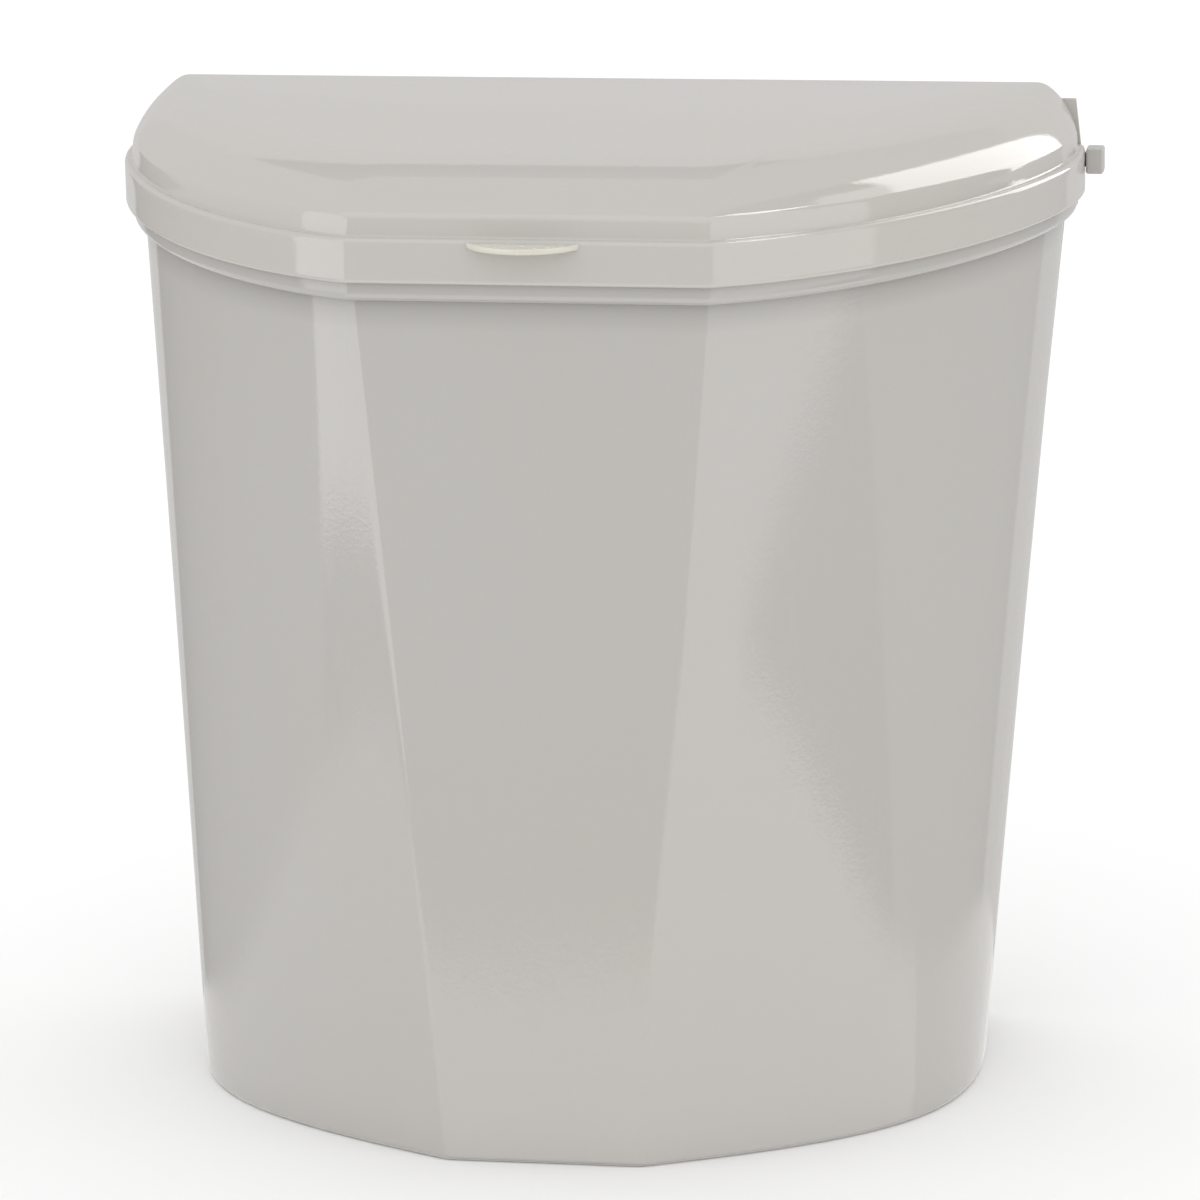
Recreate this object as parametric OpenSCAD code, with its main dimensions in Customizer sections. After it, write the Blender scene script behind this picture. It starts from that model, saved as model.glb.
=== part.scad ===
// Wall-hung flip-lid waste bin: tapered D-plan tub, rim collar, bag ring, hinged lid and wall bracket.
// Millimetres. X across the bin, +Y towards the wall, +Z up. The origin is on the underside of the tub,
// on its centre plane, halfway between the rear plane and the front of the rim.

/* [Tub] */
// Width at the rear of the rim band
rim_w = 300; // [280:1:320]
// Depth of the rim band, from the rear plane to the front
rim_d = 172; // [160:1:185]
// Width of the flat front facet at the rim
rim_flat_w = 108; // [90:1:120]
// Width at the rear of the base
base_w = 239; // [220:1:260]
// Depth of the base, from the rear plane to the front
base_d = 167; // [150:1:168]
// Width of the flat front facet at the base
base_flat_w = 60; // [44:1:80]
// Height to the top of the rim collar
tub_h = 276; // [250:1:300]
// Wall thickness of the tub
wall = 2.5; // [2:0.1:3]

/* [Rim] */
// Height of the rim band seen below the lid
band_h = 6; // [5:0.5:8]
// How far the rim band stands out from the tub wall
band_out = 3.3; // [3:0.1:4]
// Height of the bag ring
bag_ring_h = 17; // [12:1:22]

/* [Lid] */
// How far the skirt stands out from the rim band
skirt_out = 2.6; // [2.4:0.1:4]
// Height of the skirt
skirt_h = 13.8; // [13:0.1:16]
// Rise of the dome above the skirt, at the rear
dome_rise = 19.7; // [17:0.1:22]
// Fall of the lid's top from the rear to the front
top_fall = 2; // [0:0.5:4]
// Width of the dome's rounding at the front
dome_round_front = 48; // [36:1:54]
// Width of the dome's rounding at the rear corners
dome_round_rear = 11; // [9:0.5:13]
// Thickness of the lid
lid_wall = 2; // [1.8:0.1:2.2]
// Width of the finger lip
lip_w = 34; // [28:1:44]
// How far the finger lip stands out from the skirt
lip_out = 9.5; // [7:0.5:12]

/* [Hinge] */
// Diameter of the hinge rod
rod_d = 5; // [4:0.5:5]
// Distance from the rear plane forward to the hinge axis
axis_in = 8; // [8:0.5:9]
// Height of the hinge axis above the rim collar
axis_up = 10; // [10:0.5:11]
// Side of the rod's square head
rod_head_s = 8; // [7:0.5:10]

/* [Wall bracket] */
// Gap between the tub's rear plane and the wall
standoff = 18; // [18:0.5:22]
// Hole spacing across the bracket
hole_dx = 120; // [100:5:130]
// Hole spacing up the bracket
hole_dz = 40; // [36:1:42]
// Diameter of the bracket's screw holes
hole_d = 5.5; // [4.5:0.5:6]

/* [Hidden] */
$fn = 48;

back = rim_d / 2;              // rear plane
clear = 0.1;                   // clearance round a fastener and round the turning rod
side_n = 16;                   // steps along each curved side
lean = 10;                     // how far the sides turn inwards again at the rear, in degrees

// Outline of a level: half width at the rear, depth, half width of the front flat,
// start angle of the side at the front, and the pull of its two ends
rim = [rim_w / 2, rim_d, rim_flat_w / 2, 23.5, 0.34, 0.25];
base = [base_w / 2, base_d, base_flat_w / 2, 24.5, 0.53, 0.53];

tub_top = tub_h - 3;           // the collar's web covers the tub's edge
base_t = 3;
base_r = 2;
corner_r = 8;                  // rounding of the rim band's rear corners
band_z = tub_h - band_h;
bead_in = -band_out + 0.2;
bead_r = 1.3;
bead_lift = 2;                 // the lid's skirt overlaps the bead by this much, but not at the rear
bead_end = axis_in + 4;        // the bead is low from here to the rear plane
leg_h = 8;
leg_out = -band_out - wall - 0.8;
leg_t = 2;
lip_seat = 1.5;                // rebate that the bag ring's lip hangs in

skirt_z = tub_h;
ledge_z = skirt_z + skirt_h;
shoulder_r = 1.6;
ledge_in = 0.3;                // the dome starts this far outside the rim band
ledge_fall = 0.2;              // the ledge falls this much towards the shoulder
lid_top = ledge_z + dome_rise;
dome_arc_r = (pow(dome_rise, 2) + pow(dome_round_rear, 2)) / (2 * dome_round_rear);
rear_gap_z = tub_h + 5.5;      // lower edge of the lid's rear wall
rear_cut = 4.4;                // depth of the cuts in the lid's rear wall
notch_z = tub_h + axis_up + 7; // the rear wall is cut away to here over each hinge block

axis_y = back - axis_in;
axis_z = tub_h + axis_up;
eye_r = 5.5;                   // radius of the hinge eyes
block_x = 130;
block_w = 10;
knuckle_x = 112;
knuckle_w = 16;
knuckle_screw_z = axis_z + 13;
knuckle_thread = 6;
knuckle_head_r = 2.8;
knuckle_lug = 4;               // plastic round each knuckle screw
stop_t = axis_up - axis_in - 0.2;
rod_right = rim_w / 2 + skirt_out + 1.2;
rod_head_l = 5.6;
head_chamfer = 0.5;
rod_left = -block_x - block_w - 4;
clip_t = 1.4;
clip_rim = 2.2;

sheet = 2;                     // bracket and hanger sheet
tub_back = back - band_out;
bracket_w = hole_dx + 30;
bracket_z = 175;
bracket_h = 62;
bracket_lip_h = 18;
hook_z = bracket_z + bracket_h + bracket_lip_h - sheet;
lip_y = back + 3;
rail_w = 110;
rail_back = lip_y + sheet + 2;
rivet_dx = 90;
rail_h = 38;                   // from the hook down
rail_hook_h = 13;
rivet_in = 8;                  // rivets, from the rail's ends
rivet_z = [hook_z - rail_h + rivet_in - 1, hook_z - rivet_in];
spacer_x = 75;
spacer_z = 40;
spacer_r = 10;
spacer_bore = 12;

rivet_r = 2;
screw_r = 1.7;
head_r = 3.4;
head_t = 1.6;
rivet_head_t = 1.2;

ring_out = leg_out - leg_t - 0.4;
ring_t = 2.2;
ring_rest = 0.05;
ring_top = tub_h - 2 * ring_rest;

lip_t = 1.8;
lip_z = ledge_z - lip_t - 1.1;
dome_steps = [0, 0.04, 0.1, 0.18, 0.3, 0.46, 0.7, 1];

block_screw_z = [tub_h - 20, tub_h - 12];
notch_gap = 1.5;               // room between a hinge block and the lid or the stop plate
stop_top = axis_z + 18;
stop_low = axis_z + 2;
stop_end = [rim_w / 2 - 4.5, rim_w / 2 + 1];   // outer ends of the left and the right stop plate
stop_peak = 1.2;

buffer_r = 3.4;
buffer_h = 8;
boss_r = 4.2;
buffer_in = 7.4;               // buffer centres, inwards from the rim band's edge
buffer_front_x = 42;

// ---- outlines ----

function mix(a, b, t) = a + (b - a) * t;
function bezier(p, t) = p[0] * pow(1 - t, 3) + p[1] * 3 * t * pow(1 - t, 2)
                      + p[2] * 3 * t * t * (1 - t) + p[3] * pow(t, 3);
function slope(p, t) = (p[1] - p[0]) * pow(1 - t, 2) + (p[2] - p[1]) * 2 * t * (1 - t) + (p[3] - p[2]) * t * t;
function outward(v) = [v[1], -v[0]] / norm(v);

// Control points of the right-hand side of a level, from the front facet to the rear corner
function side_curve(s) =
    let (a = [s[2], back - s[1]], b = [s[0], back], reach = norm(b - a))
    [a, a + s[4] * reach * [cos(s[3]), sin(s[3])],
     b - s[5] * reach * [cos(90 + lean), sin(90 + lean)], b];

// Distance along the side, 0 at the front crease and below 1 where the corner rounding starts
function side_t(i) = 0.95 * i / side_n;

// Right half of a level's outline, moved out by "out" at the front and sides (a list gives one value
// for each step) and by "rear" at the rear, with the rear corner rounded to radius r
function half_outline(s, out, rear, r) =
    let (c = side_curve(s), n = outward(slope(c, 0)), front = [0, -1],
         o = is_list(out) ? out : [for (i = [0:side_n + 1]) out],
         corner = c[3] + [(o[side_n + 1] - rear * sin(lean)) / cos(lean), rear],
         turn = ([cos(lean), sin(lean)] + [0, 1]) / (1 + sin(lean)),
         centre = corner - r * turn)
    concat([c[0] + o[0] * (n + front) / (1 + n * front)],
           [for (i = [1:side_n]) bezier(c, side_t(i)) + o[i] * outward(slope(c, side_t(i)))],
           [for (k = [0:3]) let (a = mix(lean, 90, k / 3)) centre + r * [cos(a), sin(a)]]);

function mirrored(p) = concat(p, [for (i = [len(p) - 1:-1:0]) [-p[i][0], p[i][1]]]);
function level(z, s, out, rear, r) = [for (q = mirrored(half_outline(s, out, rear, r))) [q[0], q[1], z]];

// The same ring, raised by "lift" except along the rear
function lifted(ring, lift) = [for (q = ring) q + [0, 0, q[1] < back - bead_end ? lift : 0]];

// Skin over a stack of rings; an open stack gets a flat cap at each end
module skin(rings, closed = false) {
    n = len(rings[0]);
    m = len(rings);
    last = closed ? m - 1 : m - 2;
    walls = [for (j = [0:last], i = [0:n - 1], half = [0:1])
        let (a = j * n + i, b = j * n + (i + 1) % n,
             c = ((j + 1) % m) * n + (i + 1) % n, d = ((j + 1) % m) * n + i)
        half == 0 ? [a, d, c] : [a, c, b]];
    caps = closed ? [] : [[for (i = [0:n - 1]) i], [for (i = [n - 1:-1:0]) (m - 1) * n + i]];
    polyhedron(points = [for (r = rings, q = r) q], faces = concat(walls, caps), convexity = 8);
}

// Loop that follows the rim. Each corner of its section is an outward offset, a height and, where
// the loop is higher at the front and sides, a lift.
module rim_loop(section) {
    skin([for (q = section) lifted(level(q[1], rim, q[0], q[0], max(corner_r + q[0], 1.5)),
                                   len(q) > 2 ? q[2] : 0)], closed = true);
}

// ---- tub ----

function tub_shape(z) = mix(base, rim, z / tub_h);
function tub_out(z) = -band_out * z / tub_top;
function tub_ring(z, inset) =
    level(z, tub_shape(z), tub_out(z) - inset, -band_out - inset, max(corner_r - band_out - inset, 1.5));

module tub() {
    color([0.79, 0.78, 0.74])
    difference() {
        skin([tub_ring(0, base_r), tub_ring(0.3 * base_r, 0.3 * base_r), tub_ring(base_r, 0),
              tub_ring(tub_top, 0), tub_ring(tub_top, wall), tub_ring(base_t + 3, wall),
              tub_ring(base_t + 0.8, wall + 0.9), tub_ring(base_t, wall + 3)]);
        rear_fastener_holes();
    }
}

module along_y(r, y0, y1) {
    translate([0, y0, 0]) rotate([-90, 0, 0]) cylinder(r = r, h = y1 - y0);
}

module along_x(r, x0, x1) {
    translate([x0, 0, 0]) rotate([0, 90, 0]) cylinder(r = r, h = x1 - x0);
}

module at_rivets() {
    for (x = [-rivet_dx / 2, rivet_dx / 2], z = rivet_z) translate([x, 0, z]) children();
}

module at_spacers() {
    for (x = [-spacer_x, spacer_x]) translate([x, 0, spacer_z]) children();
}

module at_block_screws() {
    for (x = [-1, 1] * (block_x + block_w / 2), z = block_screw_z) translate([x, 0, z]) children();
}

module rear_fastener_holes() {
    at_rivets() along_y(rivet_r + clear, tub_back - 8, tub_back + 8);
    at_spacers() along_y(screw_r + clear, tub_back - 8, tub_back + 8);
    at_block_screws() along_y(screw_r + clear, tub_back - 8, tub_back + 8);
}

// ---- rim ----

module rim_collar() {
    color([0.80, 0.79, 0.75])
    rim_loop([[bead_in, band_z], [-bead_r, band_z], [0, band_z + bead_r],
              [0, tub_h - bead_r, bead_lift], [-bead_r, tub_h, bead_lift], [bead_in, tub_h, bead_lift],
              [bead_in - 0.3, tub_h], [leg_out - 0.2, tub_h], [leg_out - 0.2, tub_h - lip_seat],
              [leg_out - leg_t, tub_h - lip_seat], [leg_out - leg_t, tub_h - leg_h], [leg_out, tub_h - leg_h],
              [leg_out, tub_top], [bead_in, tub_top]]);
}

module bag_ring() {
    color([0.70, 0.70, 0.68])
    translate([0, 0, ring_rest])
    rim_loop([[ring_out, tub_h - bag_ring_h], [ring_out, tub_h - lip_seat],
              [leg_out - 0.5, tub_h - lip_seat], [leg_out - 0.5, ring_top],
              [ring_out - ring_t, ring_top], [ring_out - ring_t, tub_h - bag_ring_h]]);
}

// ---- hanging on the wall ----

module wall_bracket() {
    color([0.66, 0.67, 0.68])
    difference() {
        translate([-bracket_w / 2, 0, 0]) {
            translate([0, back + standoff - sheet, bracket_z]) cube([bracket_w, sheet, bracket_h]);
            translate([0, lip_y, bracket_z + bracket_h - sheet])
                cube([bracket_w, back + standoff - lip_y, sheet]);
            translate([0, lip_y, bracket_z + bracket_h - sheet]) cube([bracket_w, sheet, bracket_lip_h]);
        }
        for (x = [-hole_dx / 2, hole_dx / 2], z = [0, hole_dz])
            translate([x, 0, bracket_z + (bracket_h - sheet - hole_dz) / 2 + z])
                along_y(hole_d / 2, back + standoff - 2 * sheet, back + standoff + sheet);
    }
}

module hanger_rail() {
    color([0.66, 0.67, 0.68])
    difference() {
        translate([-rail_w / 2, 0, 0]) {
            translate([0, tub_back, hook_z - rail_h]) cube([rail_w, sheet, rail_h + sheet]);
            translate([0, tub_back, hook_z]) cube([rail_w, rail_back + sheet - tub_back, sheet]);
            translate([0, rail_back, hook_z - rail_hook_h]) cube([rail_w, sheet, rail_hook_h + sheet]);
        }
        at_rivets() along_y(rivet_r + clear, tub_back - 1, tub_back + sheet + 1);
    }
}

module hanger_rivets() {
    color([0.75, 0.75, 0.76])
    at_rivets() {
        along_y(rivet_r, tub_back - wall, tub_back + sheet);
        along_y(head_r, tub_back + sheet, tub_back + sheet + rivet_head_t);
        along_y(head_r, tub_back - wall - rivet_head_t, tub_back - wall);
    }
}

module spacer(side) {
    color([0.16, 0.16, 0.17])
    translate([side * spacer_x, 0, spacer_z])
    difference() {
        along_y(spacer_r, tub_back, back + standoff);
        along_y(screw_r, tub_back - 1, tub_back + spacer_bore);
    }
}

module spacer_left() { spacer(-1); }
module spacer_right() { spacer(1); }

module spacer_screws() {
    color([0.75, 0.75, 0.76])
    at_spacers() {
        along_y(screw_r, tub_back - wall, tub_back + spacer_bore);
        along_y(head_r, tub_back - wall - head_t, tub_back - wall);
    }
}

// ---- hinge, tub side ----

// Side view of a hinge block: a tongue screwed to the tub's back, an arm over the collar and the eye
module block_profile() {
    difference() {
        union() {
            polygon([[tub_back, tub_h - 25], [back + sheet, tub_h - 25], [back + sheet, tub_h + 1.5],
                     [axis_y + eye_r, tub_h + 1.5], [axis_y + eye_r, axis_z], [axis_y - eye_r, axis_z],
                     [axis_y - eye_r, tub_h + 6], [back - 6, tub_h], [back, tub_h], [back, band_z - 0.2],
                     [tub_back, band_z - 0.2]]);
            translate([axis_y, axis_z]) circle(eye_r);
        }
        translate([axis_y, axis_z]) circle(rod_d / 2);
    }
}

// Turns a side view, drawn with Y across and Z up, into a block from x0 to x0 + w
module from_side(x0, w) {
    translate([x0, 0, 0]) rotate([90, 0, 90]) linear_extrude(w) children();
}

module hinge_block(side) {
    color([0.78, 0.77, 0.74])
    difference() {
        from_side(side > 0 ? block_x : -block_x - block_w, block_w) block_profile();
        at_block_screws() along_y(screw_r + clear, tub_back - 1, back + 2 * sheet);
    }
}

module hinge_block_left() { hinge_block(-1); }
module hinge_block_right() { hinge_block(1); }

module hinge_block_screws() {
    color([0.75, 0.75, 0.76])
    at_block_screws() {
        along_y(screw_r, tub_back - wall, back + sheet);
        along_y(head_r, back + sheet, back + sheet + head_t);
        along_y(head_r, tub_back - wall - head_t, tub_back - wall);
    }
}

module hinge_rod() {
    color([0.72, 0.73, 0.74])
    translate([0, axis_y, axis_z]) along_x(rod_d / 2, rod_left, rod_right);
}

module rod_head() {
    color([0.80, 0.79, 0.75])
    hull() {
        for (c = [0, head_chamfer])
            translate([rod_right + rod_head_l / 2, axis_y, axis_z])
                cube([rod_head_l - 2 * (head_chamfer - c), rod_head_s - 2 * c, rod_head_s - 2 * c], center = true);
    }
}

module rod_clip() {
    color([0.45, 0.46, 0.48])
    translate([0, axis_y, axis_z])
    difference() {
        along_x(rod_d / 2 + clip_rim, rod_left + clip_t, rod_left + 2 * clip_t);
        along_x(rod_d / 2, rod_left, -block_x - block_w);
    }
}

// ---- lid ----

function top_z(y) = lid_top - top_fall * (back - y) / rim_d;
function dome_reach(i) = mix(dome_round_front, dome_round_rear, i / (side_n + 1));
// Share of the rise at the fraction e: a soft curve at the front, an arc at the rear corners
function soft_rise(e) = pow(1 - pow(1 - e, 1.7), 1 / 1.7);
function arc_rise(e) = let (x = e * dome_round_rear) sqrt(2 * dome_arc_r * x - x * x) / dome_rise;
function rise(e, i) = mix(soft_rise(e), arc_rise(e), pow(i / (side_n + 1), 2));

// Step of the side that point k of a ring belongs to
function step_of(k, n) = let (h = n / 2, j = k < h ? k : n - 1 - k) min(j, side_n + 1);

// Ring of the dome at the fraction e of its rounding, for a surface "t" inside the outer one
function dome_ring(e, t) =
    let (out = [for (i = [0:side_n + 1]) ledge_in - t - e * dome_reach(i)],
         flat = mirrored(half_outline(rim, out, -t, 0.4)), n = len(flat))
    [for (k = [0:n - 1]) [flat[k][0], flat[k][1],
        mix(ledge_z, top_z(flat[k][1]), rise(e, step_of(k, n))) - t]];

function skirt_ring(out, z, t) = level(z, rim, out - t, -t, 0.4);

module lid_outer() {
    skin(concat([skirt_ring(skirt_out - 0.8, skirt_z, 0), skirt_ring(skirt_out, skirt_z + 0.8, 0),
                 skirt_ring(skirt_out, ledge_z - shoulder_r, 0),
                 skirt_ring(skirt_out - 0.3 * shoulder_r, ledge_z - 0.3 * shoulder_r, 0),
                 skirt_ring(skirt_out - shoulder_r, ledge_z - ledge_fall, 0)],
                [for (e = dome_steps) dome_ring(e, 0)]));
}

module lid_inner() {
    skin(concat([skirt_ring(skirt_out, skirt_z - 1, lid_wall),
                 skirt_ring(skirt_out, ledge_z - lid_wall - ledge_fall, lid_wall)],
                [for (e = dome_steps) dome_ring(e, lid_wall)]));
}

front_in = -back + buffer_in;
side_spot = let (c = side_curve(rim), t = 0.62) bezier(c, t) - buffer_in * outward(slope(c, t));
buffer_spots = [[-buffer_front_x, front_in], [buffer_front_x, front_in],
                [-side_spot[0], side_spot[1]], side_spot];

module lid_bosses() {
    for (p = buffer_spots) translate([p[0], p[1], skirt_z + buffer_h]) cylinder(r = boss_r, h = dome_rise + skirt_h);
}

module lid() {
    color([0.81, 0.80, 0.77])
    difference() {
        lid_outer();
        difference() {
            lid_inner();
            lid_bosses();
        }
        // gap under the rear wall, cut higher over the hinge blocks
        translate([-rim_w, back - rear_cut, skirt_z - 1]) cube([2 * rim_w, 2 * rear_cut, rear_gap_z - skirt_z + 1]);
        for (x = [-block_x - block_w, block_x] - [notch_gap, notch_gap])
            translate([x, back - rear_cut, skirt_z])
                cube([block_w + 2 * notch_gap, 2 * rear_cut, notch_z - skirt_z]);
        // hole for the rod in the right-hand skirt
        translate([0, axis_y, axis_z]) along_x(rod_d / 2 + clear, rim_w / 2 - 4, rod_right + 2);
        // slot for the finger lip
        translate([-lip_w / 2, -back - skirt_out - 1, lip_z - clear / 2])
            cube([lip_w, lid_wall + 2, lip_t + clear]);
        at_knuckle_screws() along_y(screw_r + clear, back - 2 * lid_wall, back + 1);
    }
}

module finger_lip() {
    r = (pow(lip_w / 2, 2) + pow(lip_out, 2)) / (2 * lip_out);
    color([0.88, 0.87, 0.80])
    translate([0, -back - skirt_out, lip_z])
    linear_extrude(lip_t) {
        intersection() {
            translate([0, r - lip_out]) circle(r);
            translate([-lip_w, -lip_w]) square([2 * lip_w, lip_w]);
        }
        translate([clear - lip_w / 2, 0]) square([lip_w - 2 * clear, lid_wall]);
    }
}

// ---- hinge, lid side ----

module at_knuckle_screws() {
    for (x = [-1, 1], dx = [knuckle_lug, knuckle_w - knuckle_lug])
        translate([x * (knuckle_x + dx), 0, knuckle_screw_z]) children();
}

module knuckle(side) {
    color([0.78, 0.77, 0.74])
    difference() {
        from_side(side > 0 ? knuckle_x : -knuckle_x - knuckle_w, knuckle_w)
        difference() {
            union() {
                translate([axis_y, axis_z]) circle(eye_r);
                translate([axis_y - rod_d / 2 + 0.5, axis_z])
                    square([axis_in - lid_wall + rod_d / 2 - 0.5, knuckle_screw_z + knuckle_lug - axis_z]);
            }
            translate([axis_y, axis_z]) circle(rod_d / 2 + clear);
        }
        at_knuckle_screws() along_y(screw_r, back - lid_wall - knuckle_thread, back);
    }
}

module knuckle_left() { knuckle(-1); }
module knuckle_right() { knuckle(1); }

// Plate behind the lid's rear wall: it backs the knuckle, and its outer end stops the lid on the collar
module stop_plate(side) {
    end = stop_end[side < 0 ? 0 : 1];
    gap_x = block_x - notch_gap;
    gap_end = block_x + block_w + notch_gap;
    gap_top = axis_z + 2 * eye_r;
    color([0.80, 0.79, 0.76])
    mirror([side < 0 ? 1 : 0, 0, 0])
    difference() {
        translate([0, back + stop_t, 0]) rotate([90, 0, 0]) linear_extrude(stop_t)
            polygon([[knuckle_x, stop_low], [gap_x, stop_low], [gap_x, gap_top], [gap_end, gap_top],
                     [gap_end, stop_low], [end + stop_peak / 2, stop_low], [end - stop_peak, stop_top],
                     [knuckle_x, stop_top]]);
        at_knuckle_screws() along_y(screw_r + clear, back - 1, back + 2 * sheet);
    }
}

module stop_plate_left() { stop_plate(-1); }
module stop_plate_right() { stop_plate(1); }

module knuckle_screws() {
    color([0.75, 0.75, 0.76])
    at_knuckle_screws() {
        along_y(screw_r, back - lid_wall - knuckle_thread, back + stop_t);
        along_y(knuckle_head_r, back + stop_t, back + stop_t + rivet_head_t);
    }
}

// ---- lid buffers ----

module buffer(k) {
    color([0.13, 0.13, 0.14])
    translate([buffer_spots[k][0], buffer_spots[k][1], skirt_z]) cylinder(r = buffer_r, h = buffer_h);
}

module buffer_front_left() { buffer(0); }
module buffer_front_right() { buffer(1); }
module buffer_side_left() { buffer(2); }
module buffer_side_right() { buffer(3); }

wall_bracket();
tub();
rim_collar();
bag_ring();
hanger_rail();
hanger_rivets();
spacer_left();
spacer_right();
spacer_screws();
hinge_block_left();
hinge_block_right();
hinge_block_screws();
hinge_rod();
rod_head();
rod_clip();
lid();
finger_lip();
knuckle_left();
knuckle_right();
stop_plate_left();
stop_plate_right();
knuckle_screws();
buffer_front_left();
buffer_front_right();
buffer_side_left();
buffer_side_right();
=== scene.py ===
"""Wall-hung flip-lid waste bin: the visual model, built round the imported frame.

Lengths in the shape code are millimetres in the frame's axes, and turn into metres in make_mesh().
X runs across the bin, +Y points to the wall and +Z up.
"""
import math

import bmesh
import bpy
import numpy as np
from mathutils import Matrix, Vector


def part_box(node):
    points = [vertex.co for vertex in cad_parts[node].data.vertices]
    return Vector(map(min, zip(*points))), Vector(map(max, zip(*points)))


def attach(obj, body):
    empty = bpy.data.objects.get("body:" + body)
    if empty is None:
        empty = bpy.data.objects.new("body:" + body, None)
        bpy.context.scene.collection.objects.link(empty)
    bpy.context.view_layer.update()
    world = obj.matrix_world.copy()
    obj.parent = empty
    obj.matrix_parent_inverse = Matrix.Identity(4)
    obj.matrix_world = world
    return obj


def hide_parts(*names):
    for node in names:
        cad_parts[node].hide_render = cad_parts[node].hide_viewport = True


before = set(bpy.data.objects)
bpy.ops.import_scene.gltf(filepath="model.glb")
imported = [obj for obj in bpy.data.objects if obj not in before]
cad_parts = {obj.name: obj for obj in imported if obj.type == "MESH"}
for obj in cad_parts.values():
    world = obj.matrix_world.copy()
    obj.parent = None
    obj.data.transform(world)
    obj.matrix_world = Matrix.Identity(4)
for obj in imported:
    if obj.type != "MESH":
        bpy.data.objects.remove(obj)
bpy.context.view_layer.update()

MM = 0.001


def span(node):
    """Lowest and highest corner of a CAD node, in millimetres."""
    lo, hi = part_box(node)
    return np.array(lo) / MM, np.array(hi) / MM


COLLAR_LO, COLLAR_HI = span("rim_collar")
TUB_TOP = span("tub")[1][2]
LID_LO, LID_HI = span("lid")
LIP_LO, LIP_HI = span("finger_lip")
RING_LO, RING_HI = span("bag_ring")
ROD_LO, ROD_HI = span("hinge_rod")

BACK = COLLAR_HI[1]                       # rear plane
RIM_DEPTH = BACK - COLLAR_LO[1]
BEAD_LIFT = 2.0                           # the lid's skirt overlaps the bead by this much
TUB_H = COLLAR_HI[2] - BEAD_LIFT
LEAN = math.radians(10)                   # how far the sides turn inwards again at the rear
BAND_OUT = 3.3                            # the rim band stands out this far from the tub wall
BAND_H = 6.0                              # height of the part of the band that shows
WALL = 2.5                                # of the tub
CORNER_R = 8.0                            # rear corners at the rim
BAG_SEAT = 1.5                            # depth of the rebate that the bag ring lies in

# Outline of a level: half width at the rear, depth, half width of the front flat,
# start angle of the side at the front in degrees, and the pull of its two ends
RIM = np.array([150.0, RIM_DEPTH, 54.0, 23.5, 0.34, 0.25])
BASE = np.array([119.5, 167.0, 30.0, 24.5, 0.53, 0.53])

SKIRT_Z = LID_LO[2]
SKIRT_OUT = 2.5                           # how far the skirt stands out from the rim band
SKIRT_H = 13.8
LEDGE_Z = SKIRT_Z + SKIRT_H
LEDGE_IN = 0.3                            # the dome starts this far outside the rim band
LEDGE_FALL = 0.2
SHOULDER_R = 1.5
LID_TOP = LID_HI[2]
DOME_RISE = LID_TOP - LEDGE_Z
TOP_FALL = 2.0                            # the lid's top falls this much towards the front
REACH_FRONT, REACH_REAR = 48.0, 11.0      # width of the dome's rounding
LID_WALL = 2.0
LID_EDGE_R = 0.8
LID_CORNER_R = 0.9
REAR_GAP_Z = TUB_H + 5.5                  # lower edge of the lid's rear wall
REAR_GAP_IN = 4.4
NOTCH_Z = TUB_H + 17                      # top of the notches over the hinge blocks
NOTCH = (128.5, 141.5)                    # their span in x
NOTCH_DEPTH = 2.5

AXIS_Y = (ROD_LO[1] + ROD_HI[1]) / 2
AXIS_Z = (ROD_LO[2] + ROD_HI[2]) / 2
ROD_R = (ROD_HI[2] - ROD_LO[2]) / 2


# ---- outlines ----

def mix(a, b, t):
    return a + (b - a) * t


def side_curve(s):
    """Control points of the right-hand side of a level, from the front facet to the rear corner."""
    a, b = np.array([s[2], BACK - s[1]]), np.array([s[0], BACK])
    reach = np.linalg.norm(b - a)
    start, end = math.radians(s[3]), math.pi / 2 + LEAN
    return [a, a + s[4] * reach * np.array([math.cos(start), math.sin(start)]),
            b - s[5] * reach * np.array([math.cos(end), math.sin(end)]), b]


def bezier(p, t):
    return (p[0] * (1 - t) ** 3 + p[1] * 3 * t * (1 - t) ** 2
            + p[2] * 3 * t * t * (1 - t) + p[3] * t ** 3)


def slope(p, t):
    return 3 * ((p[1] - p[0]) * (1 - t) ** 2 + (p[2] - p[1]) * 2 * t * (1 - t) + (p[3] - p[2]) * t * t)


def outward(v):
    return np.array([v[1], -v[0]]) / np.linalg.norm(v)


FLAT_N, CREASE_N, SIDE_N, CORNER_N, REAR_N = 8, 8, 52, 8, 10
NOTCH_STEP = 0.3                          # points this close on both sides of a notch's ends
CREASE_R = 6.0                            # of the two front creases at the rim
REAR_STRAIGHT = 126                       # the rear's evenly spaced points lie inside this x


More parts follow.
